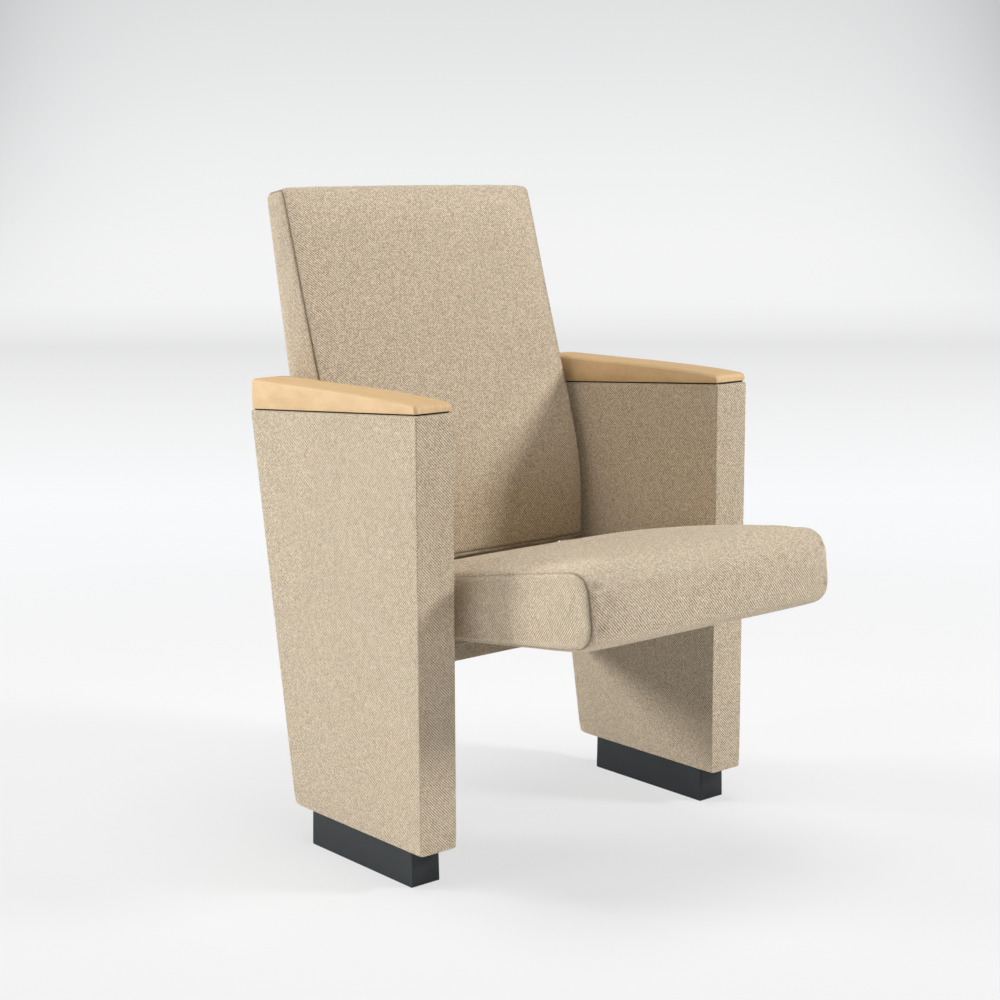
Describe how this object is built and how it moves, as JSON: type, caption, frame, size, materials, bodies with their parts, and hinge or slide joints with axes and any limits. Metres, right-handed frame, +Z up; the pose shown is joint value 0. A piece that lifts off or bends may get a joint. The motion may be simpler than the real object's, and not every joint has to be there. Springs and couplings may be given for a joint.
{
  "type": "tip up auditorium seat",
  "caption": "Tip up auditorium seat with a hinged padded seat, a reclined padded back and two upholstered arm panels with wooden armrests on steel plinth feet.",
  "frame": {"origin": "on the floor, under the centre of the part's box", "axes": "+X to the right as seen from the front, +Y to the rear, +Z up"},
  "size_m": [0.6, 0.6872, 0.9013],
  "materials": {
    "fabric": "woven beige upholstery cloth",
    "armrest_wood": "pale beech, satin lacquer",
    "plywood": "plain plywood",
    "grey_steel": "grey powder coat",
    "zinc": "zinc plated",
    "rubber": "matt",
    "nylon": "moulded, matt"
  },
  "bodies": {
    "frame": {"left_plinth_foot": "grey_steel", "left_upright": "grey_steel", "left_panel_core": "plywood", "left_panel_cover": "fabric", "left_armrest_spacer": "nylon", "left_armrest": "armrest_wood", "left_armrest_stud_front": "zinc", "left_armrest_stud_rear": "zinc", "left_hinge_plate": "zinc", "left_hinge_plate_screw_front": "zinc", "left_hinge_plate_screw_rear": "zinc", "left_pivot_pin": "zinc", "left_stop_pin": "zinc", "left_stop_sleeve": "rubber", "left_counterbalance_spring": "grey_steel", "left_tie_beam_bolt_lower": "zinc", "left_tie_beam_bolt_upper": "zinc", "left_back_bracket": "grey_steel", "left_back_bracket_screw_lower": "zinc", "left_back_bracket_screw_upper": "zinc", "left_back_board_screw_lower": "zinc", "left_back_board_screw_upper": "zinc", "right_plinth_foot": "grey_steel", "right_upright": "grey_steel", "right_panel_core": "plywood", "right_panel_cover": "fabric", "right_armrest_spacer": "nylon", "right_armrest": "armrest_wood", "right_armrest_stud_front": "zinc", "right_armrest_stud_rear": "zinc", "right_hinge_plate": "zinc", "right_hinge_plate_screw_front": "zinc", "right_hinge_plate_screw_rear": "zinc", "right_pivot_pin": "zinc", "right_stop_pin": "zinc", "right_stop_sleeve": "rubber", "right_counterbalance_spring": "grey_steel", "right_tie_beam_bolt_lower": "zinc", "right_tie_beam_bolt_upper": "zinc", "right_back_bracket": "grey_steel", "right_back_bracket_screw_lower": "zinc", "right_back_bracket_screw_upper": "zinc", "right_back_board_screw_lower": "zinc", "right_back_board_screw_upper": "zinc", "tie_beam": "grey_steel", "back_cushion": "fabric", "back_board": "plywood", "back_rear_panel": "fabric"},
    "seat": {"seat_cushion": "fabric", "seat_pan": "plywood", "seat_under_cover": "fabric", "left_hinge_arm": "zinc", "left_pivot_bush": "nylon", "left_hinge_arm_bolt_front": "zinc", "left_hinge_arm_bolt_rear": "zinc", "right_hinge_arm": "zinc", "right_pivot_bush": "nylon", "right_hinge_arm_bolt_front": "zinc", "right_hinge_arm_bolt_rear": "zinc"}
  },
  "joints": [
    {"name": "seat_tip_up", "type": "hinge", "parent": "frame", "child": "seat", "pos_m": [0, 0.10994, 0.35], "axis": [-1, 0, 0], "range_deg": [0, 78]}
  ]
}
